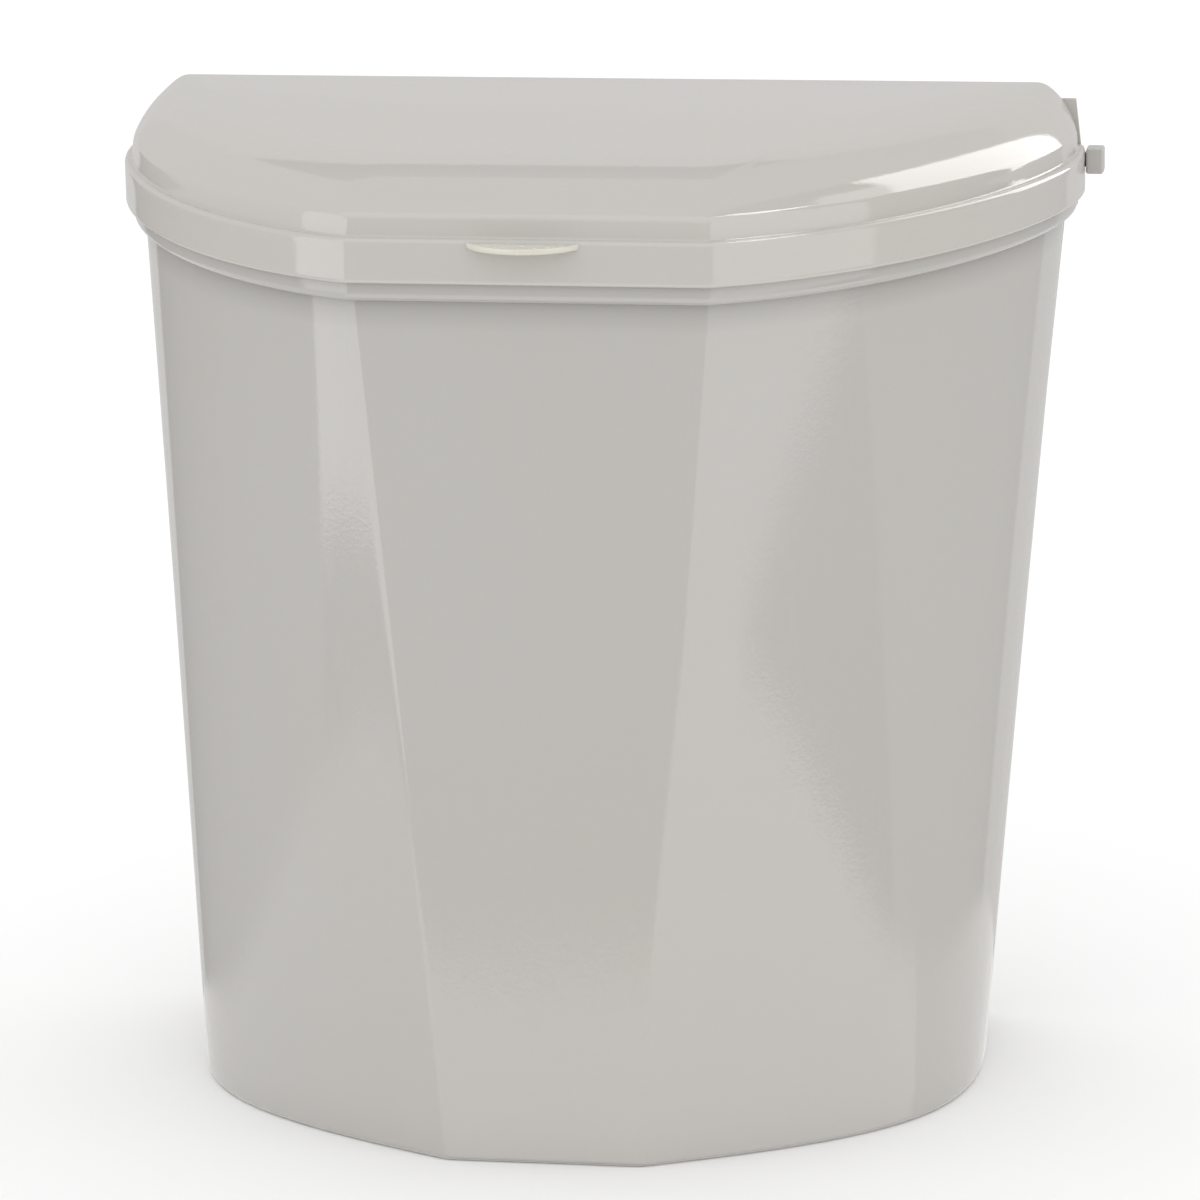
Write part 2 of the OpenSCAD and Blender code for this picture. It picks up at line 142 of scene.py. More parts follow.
def half_outline(s, out, rear, corner_r, crease_r):
    """Right half of a level's outline, from the front's middle to the rear's middle, moved out by out(u)
    at the front and sides, where u is 0 at the crease and 1 at the rear corner, and by rear at the rear.
    The crease is a fillet that touches the front flat and the side. Returns points and their u."""
    c = side_curve(s)
    trial = np.linspace(0, 0.6, 61)
    inner = np.array([bezier(c, t) + (out(t) - crease_r) * outward(slope(c, t)) for t in trial])
    t0 = np.interp(c[0][1] - out(0.0) + crease_r, inner[:, 1], trial)
    n = outward(slope(c, t0))
    centre = bezier(c, t0) + (out(t0) - crease_r) * n
    angles = np.linspace(-math.pi / 2, math.atan2(n[1], n[0]), CREASE_N)
    crease = [centre + crease_r * np.array([math.cos(a), math.sin(a)]) for a in angles]
    flat = [np.array([x, crease[0][1]]) for x in np.linspace(0, crease[0][0], FLAT_N, endpoint=False)]

    speed0, speed1 = np.linalg.norm(slope(c, t0)), np.linalg.norm(slope(c, 1.0))
    o1 = out(1.0)
    cut = (corner_r * math.tan((math.pi / 2 - LEAN) / 2)
           + max(0, (o1 * math.sin(LEAN) - rear) / math.cos(LEAN)))
    t1 = 1 - cut / speed1 - 0.006
    ts = np.linspace(t0 + 0.8 / speed0, t1, SIDE_N)
    side = [bezier(c, t) + out(t) * outward(slope(c, t)) for t in ts]

    corner = c[3] + np.array([(o1 - rear * math.sin(LEAN)) / math.cos(LEAN), rear])
    turn = (np.array([math.cos(LEAN), math.sin(LEAN)]) + np.array([0, 1])) / (1 + math.sin(LEAN))
    centre = corner - corner_r * turn
    arc = [centre + corner_r * np.array([math.cos(a), math.sin(a)])
           for a in np.linspace(LEAN, math.pi / 2, CORNER_N)]
    last = arc[-1]
    step = 0.2
    stops = [NOTCH[1] + NOTCH_STEP, NOTCH[1] - NOTCH_STEP, NOTCH[0] + NOTCH_STEP, NOTCH[0] - NOTCH_STEP]
    stops = [min(x, last[0] - step - step * k) for k, x in enumerate(stops)]
    rest = list(np.linspace(min(stops[-1], REAR_STRAIGHT) - 2, 0, REAR_N))
    edge = [np.array([x, last[1]]) for x in stops + rest]
    points = flat + crease + side + arc + edge
    u = [0.0] * (FLAT_N + CREASE_N) + list(ts) + [1.0] * (CORNER_N + len(edge))
    return np.array(points), np.array(u)


def ring(s, z, out, rear, corner_r, crease_r):
    """Closed ring of a level. out and z are numbers or functions; z takes the points and their u."""
    out_at = out if callable(out) else (lambda u: out)
    p, u = half_outline(s, out_at, rear, corner_r, crease_r)
    other = p[-2:0:-1] * [-1, 1]
    p, u = np.vstack([p, other]), np.concatenate([u, u[-2:0:-1]])
    height = z(p, u) if callable(z) else np.full(len(p), float(z))
    return np.column_stack([p, height])


# ---- meshes ----

WELD = 2e-6                               # metres


def make_mesh(name, points, faces, body, stands_for, material, sharp=40):
    """A smooth-shaded piece from points in millimetres, which rides on a body and replaces CAD nodes."""
    mesh = bpy.data.meshes.new(name)
    mesh.from_pydata([tuple(p) for p in np.asarray(points) * MM], [], faces)
    obj = bpy.data.objects.new(name, mesh)
    bpy.context.scene.collection.objects.link(obj)
    bm = bmesh.new()
    bm.from_mesh(mesh)
    bmesh.ops.remove_doubles(bm, verts=bm.verts, dist=WELD)
    bmesh.ops.dissolve_degenerate(bm, edges=bm.edges, dist=WELD / 2)
    bmesh.ops.recalc_face_normals(bm, faces=bm.faces)
    bm.to_mesh(mesh)
    bm.free()
    return dress(obj, body, stands_for, material, sharp)


def dress(obj, body, stands_for, material, sharp):
    """Shading, material, body and replaced nodes of a piece."""
    obj.data.shade_smooth()
    obj.data.set_sharp_from_angle(angle=math.radians(sharp))
    obj.data.materials.clear()
    obj.data.materials.append(material)
    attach(obj, body)
    if stands_for:
        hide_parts(*stands_for)
    return obj


def skin(rings, closed=False):
    """Faces over a stack of rings, which are capped at both ends unless the stack closes on itself."""
    n, m = len(rings[0]), len(rings)
    faces = []
    for j in range(m if closed else m - 1):
        k = (j + 1) % m
        faces += [(j * n + i, j * n + (i + 1) % n, k * n + (i + 1) % n, k * n + i) for i in range(n)]
    if not closed:
        faces += [tuple(range(n)), tuple(range((m - 1) * n, m * n))]
    return np.vstack(rings), faces


def arc_steps(r, a0, a1, n):
    """Points of an arc about (0, 0), angles in degrees."""
    return [(r * math.cos(a), r * math.sin(a)) for a in np.radians(np.linspace(a0, a1, n))]


def revolve(profile, place, n=40):
    """Closed solid from a profile of (radius, height) pairs whose ends lie on the axis."""
    turn = np.linspace(0, 2 * math.pi, n, endpoint=False)
    return skin([np.array([place(r * math.cos(a), r * math.sin(a), h) for a in turn])
                 for r, h in profile[1:-1]])


def along(axis, x, y, z):
    """Placement for revolve(): the profile's height runs along the axis from the point (x, y, z)."""
    if axis == "x":
        return lambda a, b, h: (x + h, y + a, z + b)
    if axis == "y":
        return lambda a, b, h: (x + a, y + h, z + b)
    return lambda a, b, h: (x + a, y + b, z + h)


# ---- materials ----

class Nodes:
    """Short notation for building a node tree."""

    def __init__(self, name):
        self.material = bpy.data.materials.new(name)
        self.material.use_nodes = True
        self.tree = self.material.node_tree
        self.shader = self.tree.nodes["Principled BSDF"]
        self.coords = self.tree.nodes.new("ShaderNodeTexCoord").outputs["Object"]

    def link(self, a, b):
        self.tree.links.new(a, b)

    def noise(self, scale, detail=2.0, stretch=(1, 1, 1), roughness=0.5):
        mapping = self.tree.nodes.new("ShaderNodeMapping")
        mapping.inputs["Scale"].default_value = stretch
        self.link(self.coords, mapping.inputs["Vector"])
        node = self.tree.nodes.new("ShaderNodeTexNoise")
        node.inputs["Scale"].default_value = scale
        node.inputs["Detail"].default_value = detail
        node.inputs["Roughness"].default_value = roughness
        self.link(mapping.outputs["Vector"], node.inputs["Vector"])
        return node.outputs["Fac"]

    def cells(self, scale, output="Color"):
        node = self.tree.nodes.new("ShaderNodeTexVoronoi")
        node.inputs["Scale"].default_value = scale
        self.link(self.coords, node.inputs["Vector"])
        return node.outputs[output]

    def ramp(self, value, low, high, to_low=0.0, to_high=1.0):
        node = self.tree.nodes.new("ShaderNodeMapRange")
        limits = {"From Min": low, "From Max": high, "To Min": to_low, "To Max": to_high}
        for key, number in limits.items():
            node.inputs[key].default_value = number
        self.link(value, node.inputs["Value"])
        return node.outputs["Result"]

    def maths(self, kind, a, b):
        node = self.tree.nodes.new("ShaderNodeMath")
        node.operation = kind
        for value, socket in ((a, node.inputs[0]), (b, node.inputs[1])):
            if isinstance(value, (int, float)):
                socket.default_value = value
            else:
                self.link(value, socket)
        return node.outputs[0]

    def blend(self, amount, a, b):
        """Colour a where amount is 0 and b where it is 1; either is a colour or a socket."""
        node = self.tree.nodes.new("ShaderNodeMix")
        node.data_type = "RGBA"
        self.link(amount, node.inputs["Factor"])
        for value, socket in ((a, node.inputs[6]), (b, node.inputs[7])):
            if isinstance(value, tuple):
                socket.default_value = (*value, 1)
            else:
                self.link(value, socket)
        return node.outputs[2]

    def height(self):
        split = self.tree.nodes.new("ShaderNodeSeparateXYZ")
        self.link(self.coords, split.inputs[0])
        return split.outputs["Z"]

    def bump(self, *layers):
        """Bump from (height socket, depth in metres) layers."""
        normal = None
        for value, depth in layers:
            node = self.tree.nodes.new("ShaderNodeBump")
            node.inputs["Strength"].default_value = 1.0
            node.inputs["Distance"].default_value = depth
            self.link(value, node.inputs["Height"])
            if normal is not None:
                self.link(normal, node.inputs["Normal"])
            normal = node.outputs["Normal"]
        self.link(normal, self.shader.inputs["Normal"])

    def set(self, **values):
        for key, value in values.items():
            self.shader.inputs[key.replace("_", " ")].default_value = value

    def colour(self, socket):
        self.link(socket, self.shader.inputs["Base Color"])

    def rough(self, socket):
        self.link(socket, self.shader.inputs["Roughness"])


def moulded(name, tone, gloss, streak=1.0, peel=1.0, speck=0.35, painted_rim_shade=0.0):
    """Injection-moulded polypropylene: flow mottling, specks, scuffs, orange peel and slow sink waves,
    worn near the floor and, where it is asked for, painted shade that darkens the wall just under the
    rim."""
    m = Nodes(name)
    shade = tuple(c * 0.93 for c in tone)
    warm = (tone[0] * 1.01, tone[1] * 0.985, tone[2] * 0.95)
    flow = m.ramp(m.noise(7, 3, (1, 1, 0.45)), 0.35, 0.7, 0, 0.55)
    specks = m.ramp(m.noise(1400, 1), 0.66, 0.8, 0, speck)
    body = m.blend(flow, tone, warm)
    body = m.blend(specks, body, shade)
    worn = m.maths("MULTIPLY", m.ramp(m.height(), 0.012, 0.0, 0, 0.6), m.noise(160, 4))
    body = m.blend(worn, body, shade)
    # Painted shade: over the last few millimetres below the rim the wall blends towards a much darker
    # tone, standing in for the shadow under the bead.
    if painted_rim_shade:
        rim_z = COLLAR_HI[2]
        rim_shadow_paint = m.ramp(m.height(), (rim_z - 17) * MM, (rim_z - 9) * MM, 0, painted_rim_shade)
        body = m.blend(rim_shadow_paint, body, tuple(c * 0.5 for c in tone))
    m.colour(body)
    scuffs = m.ramp(m.noise(420, 3, (1, 1, 0.06)), 0.62, 0.74)
    patches = m.ramp(m.noise(11, 3), 0.4, 0.7)
    rough = m.maths("MULTIPLY_ADD", patches, 0.02)
    m.tree.nodes[-1].inputs[2].default_value = gloss
    m.rough(m.maths("ADD", rough, m.maths("MULTIPLY", scuffs, 0.05)))
    m.bump((m.noise(850, 2), 1.2e-5 * peel), (m.noise(70, 1, (1, 1, 0.08)), 3.0e-5 * streak),
           (m.noise(16, 1, (1, 1, 0.4)), 1.6e-4 * streak))
    m.set(IOR=1.49, Subsurface_Weight=0.06, Subsurface_Scale=0.003)
    return m.material


def tub_plastic():
    # The tub's wall gets painted shade just under the rim.
    return moulded("tub_plastic", (0.488, 0.476, 0.455), 0.045, 0.6, painted_rim_shade=0.35)


def rim_plastic():
    return moulded("rim_plastic", (0.465, 0.455, 0.436), 0.08)


def lid_plastic():
    return moulded("lid_plastic", (0.522, 0.506, 0.480), 0.055, 0.6)


def lip_plastic():
    return moulded("lip_plastic", (0.655, 0.64, 0.565), 0.25, 0.3, 0.4, 0.1)


def ring_plastic():
    return moulded("ring_plastic", (0.40, 0.395, 0.38), 0.3)


def hinge_plastic():
    return moulded("hinge_plastic", (0.50, 0.49, 0.455), 0.22)


def metal(name, tone, gloss, grain, spangle=0.0):
    """Metal with drawn or rolled grain, tarnish and, for zinc, spangles."""
    m = Nodes(name)
    dull = tuple(c * 0.72 for c in tone)
    stain = m.ramp(m.noise(55, 5), 0.42, 0.72)
    body = m.blend(stain, tone, dull)
    if spangle:
        tint = m.ramp(m.cells(spangle), 0.0, 1.0, 0, 0.22)
        body = m.blend(tint, body, tuple(min(1, c * 1.2) for c in tone))
    m.colour(body)
    lines = m.noise(900, 3, grain)
    drawn = m.ramp(lines, 0.3, 0.7, gloss - 0.06, gloss + 0.08)
    m.rough(m.maths("ADD", drawn, m.maths("MULTIPLY", stain, 0.12)))
    m.bump((lines, 1.5e-5), (m.noise(120, 3), 2e-5))
    m.set(Metallic=1.0)
    return m.material


def steel():
    return metal("steel", (0.60, 0.61, 0.62), 0.36, (1, 1, 1), 160)


def rod_steel():
    return metal("rod_steel", (0.63, 0.63, 0.64), 0.24, (0.04, 1, 1))


def clip_steel():
    return metal("clip_steel", (0.30, 0.31, 0.33), 0.34, (1, 1, 1))


def fastener():
    return metal("fastener", (0.66, 0.65, 0.61), 0.28, (1, 1, 1))


def rubber():
    m = Nodes("rubber")
    bloom = m.ramp(m.noise(90, 4), 0.4, 0.75, 0, 0.5)
    m.colour(m.blend(bloom, (0.022, 0.022, 0.024), (0.05, 0.05, 0.052)))
    m.rough(m.ramp(m.noise(240, 2), 0.3, 0.7, 0.62, 0.82))
    m.bump((m.noise(1300, 2), 4e-5), (m.noise(60, 2), 6e-5))
    m.set(IOR=1.5)
    return m.material


def floor_paper():
    m = Nodes("floor_paper")
    m.colour(m.blend(m.ramp(m.noise(1.6, 2), 0.3, 0.7), (0.94, 0.94, 0.94), (0.955, 0.955, 0.955)))
    m.rough(m.ramp(m.noise(30, 2), 0.3, 0.7, 0.75, 0.85))
    m.bump((m.noise(500, 2), 2e-5))
    m.set(Specular_IOR_Level=0.0)
    return m.material


# ---- tub ----

def tub_shape(z):
    return mix(BASE, RIM, z / TUB_H)


def tub_ring(z, inset):
    out = -BAND_OUT * z / TUB_TOP - inset
    corner_r, crease_r, least_r = CORNER_R - BAND_OUT - inset, 7.0 - inset, 1.5
    return ring(tub_shape(z), z, out, -BAND_OUT - inset, max(corner_r, least_r), max(crease_r, least_r))


def tub(material):
    """Outer and inner wall in one closed skin. A flat ring next to each cap keeps its shading flat."""
    foot_r, floor_t, fillet = 2.4, 3.0, 4.0
    foot = [tub_ring(foot_r - foot_r * math.sin(a), foot_r - foot_r * math.cos(a))
            for a in np.radians([90, 72, 54, 36, 18, 0])]
    wall = [tub_ring(z, 0) for z in np.linspace(foot_r, TUB_TOP, 26)[1:]]
    inside = [tub_ring(z, WALL) for z in np.linspace(TUB_TOP, floor_t + fillet, 22)]
    bowl = [tub_ring(floor_t + fillet - fillet * math.sin(a), WALL + fillet - fillet * math.cos(a))
            for a in np.radians([15, 30, 45, 60, 75, 90])]
    flat_foot, flat_floor = tub_ring(0, foot_r + 3), tub_ring(floor_t, WALL + fillet + 3)
    points, faces = skin([flat_foot] + foot + wall + inside + bowl + [flat_floor])
    return make_mesh("tub_shell", points, faces, "bin", ["tub"], material)


# ---- rim ----

def loop_along_rim(section):
    """Closed rings along the rim for a section of (offset, height, lift) corners. The lift is left out
    along the rear, where the bead is low."""
    low_from, ramp_w, least_r = 12, 2.0, 1.5
    rings = []
    for offset, z, lift in section:
        def height(p, u, z=z, lift=lift):
            return z + lift * np.clip((BACK - low_from - p[:, 1]) / ramp_w, 0, 1)
        rings.append(ring(RIM, height, offset, offset, max(CORNER_R + offset, least_r),
                          max(CREASE_R + offset, least_r)))
    return skin(rings, closed=True)


def collar(material):
    """The collar's section: the bead with its two roundings, the rebate for the bag ring, and the leg
    inside the tub."""
    band_z, r_low, r_top = TUB_H - BAND_H, 2.5, 1.5
    leg_out, leg_t, leg_h = -BAND_OUT - WALL - 0.8, 2.0, 8.0
    bead_in = -BAND_OUT + 0.2
    section = [(bead_in, band_z, 0)]
    section += [(-r_low + x, band_z + r_low + y, 0) for x, y in arc_steps(r_low, -90, 0, 7)]
    section += [(-r_top + x, TUB_H - r_top + y, BEAD_LIFT) for x, y in arc_steps(r_top, 0, 90, 6)]
    section += [(bead_in, TUB_H, BEAD_LIFT), (bead_in - 0.3, TUB_H - 0.02, 0.0)]
    section += [(leg_out + 0.2, TUB_H - 0.02, 0), (leg_out - 0.1, TUB_H - 0.1, 0),
                (leg_out - 0.2, TUB_H - 0.4, 0)]
    section += [(leg_out - 0.2, TUB_H - BAG_SEAT, 0), (leg_out - leg_t + 0.3, TUB_H - BAG_SEAT, 0),
                (leg_out - leg_t, TUB_H - BAG_SEAT - 0.3, 0)]
    section += [(leg_out - leg_t, TUB_H - leg_h + 0.6, 0), (leg_out - leg_t + 0.6, TUB_H - leg_h, 0)]
    section += [(leg_out - 0.3, TUB_H - leg_h, 0), (leg_out, TUB_H - leg_h + 0.3, 0)]
    section += [(leg_out, TUB_TOP, 0), (bead_in, TUB_TOP, 0)]
    points, faces = loop_along_rim(section)
    return make_mesh("rim_bead", points, faces, "bin", ["rim_collar"], material)


def bag_ring(material):
    """A flange that lies in the collar's rebate and a hanging wall with a rounded lower edge."""
    top, low, seat = RING_HI[2], RING_LO[2], TUB_H - BAG_SEAT
    out, wall_out, wall_t = -7.1, -9.0, 2.2
    inner, r, low_r = wall_out - wall_t, 0.6, wall_t / 2
    section = [(wall_out, low + 0.5, 0), (wall_out, seat - 0.1, 0), (out, seat + 0.05, 0)]
    section += [(out, top - 0.4, 0), (out - 0.4, top, 0), (inner + r, top, 0),
                (inner + 0.2, top - 0.2, 0), (inner, top - r, 0)]
    section += [(inner, low + low_r, 0)]
    section += [(inner + low_r + low_r * math.cos(a), low + low_r + low_r * math.sin(a), 0)
                for a in np.radians([210, 240, 270, 300, 330])]
    points, faces = loop_along_rim(section)
    return make_mesh("bag_ring_frame", points, faces, "bin", ["bag_ring"], material)


# ---- lid ----

def smooth_min(a, b, k):
    h = np.maximum(k - abs(a - b), 0) / k
    return np.minimum(a, b) - h * h * k / 4


def front_profile():
    """Section of the dome at the front: (share of the reach, share of the rise). A steep wall, a tight
    edge and a long soft curve to the top."""
    lean, soft, edge_r, wall_h = math.radians(72), math.radians(33), 2.4, 5.6
    pull_edge, pull_top = 13.0, 22.0
    foot = np.array([wall_h / math.tan(lean), wall_h])
    centre = foot + edge_r * np.array([math.sin(lean), -math.cos(lean)])
    arc = [centre + edge_r * np.array([-math.sin(a), math.cos(a)]) for a in np.linspace(lean, soft, 7)]
    start, end = arc[-1], np.array([REACH_FRONT, DOME_RISE - TOP_FALL])
    p = [start, start + pull_edge * np.array([math.cos(soft), math.sin(soft)]),
         end - np.array([pull_top, 0]), end]
    curve = [bezier(p, t) for t in np.linspace(0, 1, 20)[1:]]
    wall = [foot * t for t in (0, 0.04, 0.12, 0.3, 0.6, 0.85)]
    q = np.array(wall + arc + curve)
    return q[:, 0] / REACH_FRONT, q[:, 1] / (DOME_RISE - TOP_FALL)


PROFILE_E, PROFILE_RISE = front_profile()
REAR_ARC_R = (DOME_RISE ** 2 + REACH_REAR ** 2) / (2 * REACH_REAR)
TOP_EDGE_R = 0.9
FOOT_E = 0.012                            # the dome's wall leaves the fillet at its foot here
CREASE_FADE = 40                          # the creases widen to this radius up the dome
FLAT_E = 1.15                             # from 1 to here the rings round the rear edge of the top
DOME_E = np.unique(np.concatenate([PROFILE_E, [0.004, 0.06, 0.93, 0.97, 1.03, 1.08, FLAT_E, 1.25]]))


def rise(e, u):
    """Share of the dome's rise at the fraction e of its reach."""
    front = np.interp(e, PROFILE_E, PROFILE_RISE)
    x = e * REACH_REAR
    rear = smooth_min(math.sqrt(max(2 * REAR_ARC_R * x - x * x, 0)) / DOME_RISE, 1.0, 0.09)
    return mix(front, rear, u ** 2)


def top_z(y):
    return LID_TOP - TOP_FALL * (BACK - y) / RIM_DEPTH


def gap_z(p):
    """Lower edge of the lid: raised along the rear wall, and higher over the hinge blocks."""
    x, y = abs(p[:, 0]), p[:, 1]
    z = np.where(y > BACK - REAR_GAP_IN, REAR_GAP_Z, SKIRT_Z)
    return np.where((y > BACK - NOTCH_DEPTH) & (x > NOTCH[0]) & (x < NOTCH[1]), NOTCH_Z, z)


def skirt_ring(out, z, t):
    """Ring of the skirt or ledge, for the surface t inside the outer one."""
    def height(p, u):
        return np.maximum(z, gap_z(p))
    return ring(RIM, height, out - t, -t, LID_CORNER_R, max(CREASE_R + out - t, 2))


def dome_ring(e, t):
    """Ring at the fraction e of the dome's reach, for the surface t inside the outer one."""
    inset = max(0.0, (e - 1) * TOP_EDGE_R / 0.15)

    def height(p, u):
        edge = np.clip(TOP_EDGE_R - (BACK - t - p[:, 1]), 0, TOP_EDGE_R)
        rounding = TOP_EDGE_R - np.sqrt(TOP_EDGE_R ** 2 - edge ** 2)
        z = np.minimum(mix(LEDGE_Z, top_z(p[:, 1]), rise(e, u)), top_z(p[:, 1]) - rounding)
        return np.maximum(z - t, gap_z(p))

    def out(u):
        return LEDGE_IN - t - e * mix(REACH_FRONT, REACH_REAR, u)
    return ring(RIM, height, out, -t - inset, LID_CORNER_R, CREASE_R + CREASE_FADE * e)


def lid(material):
    """One closed skin over skirt, shoulder, ledge and dome and back along the inside. The two dome caps
    close the top, so the strip between them is left out."""
    foot_r = 0.8
    edge_x, edge_z = SKIRT_OUT - LID_EDGE_R, SKIRT_Z + LID_EDGE_R
    outer = [skirt_ring(edge_x + LID_EDGE_R * math.cos(a), edge_z - LID_EDGE_R * math.sin(a), 0)
             for a in np.radians([90, 60, 30, 0])]
    outer += [skirt_ring(SKIRT_OUT, z, 0) for z in np.linspace(SKIRT_Z + 1.6, LEDGE_Z - SHOULDER_R, 6)]
    outer += [skirt_ring(SKIRT_OUT - SHOULDER_R + x, LEDGE_Z - LEDGE_FALL - SHOULDER_R + y, 0)
              for x, y in arc_steps(SHOULDER_R, 12, 90, 8)]
    outer += [skirt_ring(LEDGE_IN - 0.3 + foot_r * (1 - math.sin(a)),
                         LEDGE_Z - LEDGE_FALL * math.cos(a) + foot_r * (1 - math.cos(a)), 0)
              for a in np.radians([0, 15, 30, 45, 60, 72])]
    outer += [dome_ring(e, 0) for e in DOME_E if e > FOOT_E]
    inner = [dome_ring(e, LID_WALL) for e in DOME_E[::-1]]
    inner += [skirt_ring(SKIRT_OUT, z, LID_WALL)
              for z in (LEDGE_Z - LID_WALL - LEDGE_FALL, SKIRT_Z + 4, SKIRT_Z + 0.8)]
    inner += [skirt_ring(SKIRT_OUT + 0.25, SKIRT_Z + 0.3, LID_WALL),
              skirt_ring(SKIRT_OUT + 0.9, SKIRT_Z, LID_WALL)]
    n = len(outer[0])
    points, faces = skin(outer + inner, closed=True)
    join = len(outer) - 1
    faces = [f for f in faces if not (min(f) >= join * n and max(f) < (join + 2) * n)]
    faces += [tuple(join * n + i for i in range(n)), tuple((join + 1) * n + i for i in range(n))]
    return make_mesh("lid_shell", points, faces, "lid_assembly", ["lid"], material, 34)


def finger_lip(material):
    """A crescent with a rounded edge and a slightly dished top; its straight side sits in the skirt."""
    half, front = (LIP_HI[0] - LIP_LO[0]) / 2, -BACK - SKIRT_OUT
    out, seat, thick = front - LIP_LO[1], front + 1.2, LIP_HI[2] - LIP_LO[2]
    r = (half ** 2 + out ** 2) / (2 * out)
    span_a = math.asin((half - 0.15) / r)
    edge = [(0.75, 0.0), (0.3, 0.12), (0.08, 0.32), (0.0, 0.6), (0.06, 0.85), (0.28, 1.0), (0.7, 1.03),
            (1.3, 0.93), (2.2, 0.86)]
    rings = []
    for inset, level in edge:
        arc = [(math.sin(a) * (r - inset), front + r - out - math.cos(a) * (r - inset))
               for a in np.linspace(-span_a, span_a, 41)]
        arc = [(x, min(y, front + 0.3)) for x, y in arc]
        back_edge = [(x, seat) for x in np.linspace(half - 0.3, -half + 0.3, 9)]
        rings.append(np.array([(x, y, LIP_LO[2] + thick * min(level, 1)) for x, y in arc + back_edge]))
    points, faces = skin(rings)
    return make_mesh("finger_lip_insert", points, faces, "lid_assembly", ["finger_lip"],
                     material)


DOME_MIDDLE = np.vstack([dome_ring(e, LID_WALL / 2) for e in DOME_E])


# ---- fasteners, rod and rubber ----

def hinge_rod(material):
    length = ROD_HI[0] - ROD_LO[0]
    profile = [(0, 0), (ROD_R - 0.5, 0), (ROD_R, 0.5), (ROD_R, length - 0.4), (ROD_R - 0.4, length),
               (0, length)]
    points, faces = revolve(profile, along("x", ROD_LO[0], AXIS_Y, AXIS_Z))
    return make_mesh("rod", points, faces, "bin", ["hinge_rod"], material)


def spacer(side, material):
    name = "spacer_" + side
    lo, hi = span(name)
    r, length = (hi[0] - lo[0]) / 2, hi[1] - lo[1]
    profile = [(0, 0), (r - 0.8, 0), (r - 0.2, 0.2), (r, 0.8), (r, length - 3), (r - 0.5, length - 1.4),
               (r - 1.6, length - 0.4), (r - 3, length), (2.6, length), (2.2, length - 1.5),
               (0, length - 1.5)]
    place = along("y", (lo[0] + hi[0]) / 2, lo[1], (lo[2] + hi[2]) / 2)
    points, faces = revolve(profile, place)
    return make_mesh("rubber_" + name, points, faces, "bin", [name], material)


def buffer(name, material):
    lo, hi = span(name)
    r, h = (hi[0] - lo[0]) / 2, hi[2] - lo[2]
    profile = [(0, 0), (r * 0.5, 0), (r - 0.7, 0.15), (r - 0.2, 0.5), (r, 1.2), (r, h - 0.3),
               (r - 0.3, h), (0, h)]
    points, faces = revolve(profile, along("z", (lo[0] + hi[0]) / 2, (lo[1] + hi[1]) / 2, lo[2]))
    return make_mesh("rubber_" + name, points, faces, "lid_assembly", [name], material)


def wall_middle(x, y):
    """Height of the middle of the lid's wall at a point of the plan."""
    gap = np.hypot(DOME_MIDDLE[:, 0] - x, DOME_MIDDLE[:, 1] - y)
    near = np.argsort(gap)[:4]
    weight = 1 / (gap[near] + 0.01)
    return float((DOME_MIDDLE[near, 2] * weight).sum() / weight.sum())


def boss(name, material):
    """The post inside the lid that a buffer is fixed to; its top ends inside the lid's wall."""
    lo, hi = span(name)
    x, y, r = (lo[0] + hi[0]) / 2, (lo[1] + hi[1]) / 2, (hi[0] - lo[0]) / 2 + 0.8
    circle = [(math.cos(a), math.sin(a)) for a in np.linspace(0, 2 * math.pi, 32, endpoint=False)]
    rings = [np.array([(x + c * q, y + s * q, hi[2] + h) for c, s in circle])
             for q, h in ((r - 0.4, 0), (r - 0.1, 0.1), (r, 0.4))]
    rings.append(np.array([(x + c * r, y + s * r, wall_middle(x + c * r, y + s * r))
                           for c, s in circle]))
    points, faces = skin(rings)
    return make_mesh("boss_" + name, points, faces, "lid_assembly", [], material)


def refined(node, body, material, width, segments=3):
    """A copy of a CAD node with its edges rounded, which stands for the node."""
    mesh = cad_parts[node].data.copy()
    obj = bpy.data.objects.new(node + "_part", mesh)
    bpy.context.scene.collection.objects.link(obj)
    bm = bmesh.new()
    bm.from_mesh(mesh)
    bmesh.ops.remove_doubles(bm, verts=bm.verts, dist=WELD)
    bmesh.ops.dissolve_limit(bm, angle_limit=math.radians(1), verts=bm.verts, edges=bm.edges)
    edges = [e for e in bm.edges if e.is_manifold and e.calc_face_angle(0) > math.radians(30)]
    bmesh.ops.bevel(bm, geom=edges, offset=width * MM, segments=segments, profile=0.5,
                    affect="EDGES", clamp_overlap=True)
    bmesh.ops.recalc_face_normals(bm, faces=bm.faces)
    bm.to_mesh(mesh)
    bm.free()
    return dress(obj, body, [node], material, 18)


# ---- studio ----

ROOM_R, ROOM_Z = 8.0, 0.15                # metres


def floor():
    size = 12.0
    corners = [(-size, -size, 0), (size, -size, 0), (size, size, 0), (-size, size, 0)]
    mesh = bpy.data.meshes.new("floor")
    mesh.from_pydata(corners, [], [(0, 1, 2, 3)])
    obj = bpy.data.objects.new("floor", mesh)
    bpy.context.scene.collection.objects.link(obj)
    mesh.materials.append(floor_paper())
    obj.visible_glossy = False


def glow(name, radiance):
    material = bpy.data.materials.new(name)
    material.use_nodes = True
    tree = material.node_tree
    tree.nodes.clear()
    emission = tree.nodes.new("ShaderNodeEmission")
    emission.inputs["Strength"].default_value = radiance
    emission.inputs["Color"].default_value = (1.0, 0.99, 0.975, 1)
    output = tree.nodes.new("ShaderNodeOutputMaterial")
    tree.links.new(emission.outputs[0], output.inputs["Surface"])
    return material


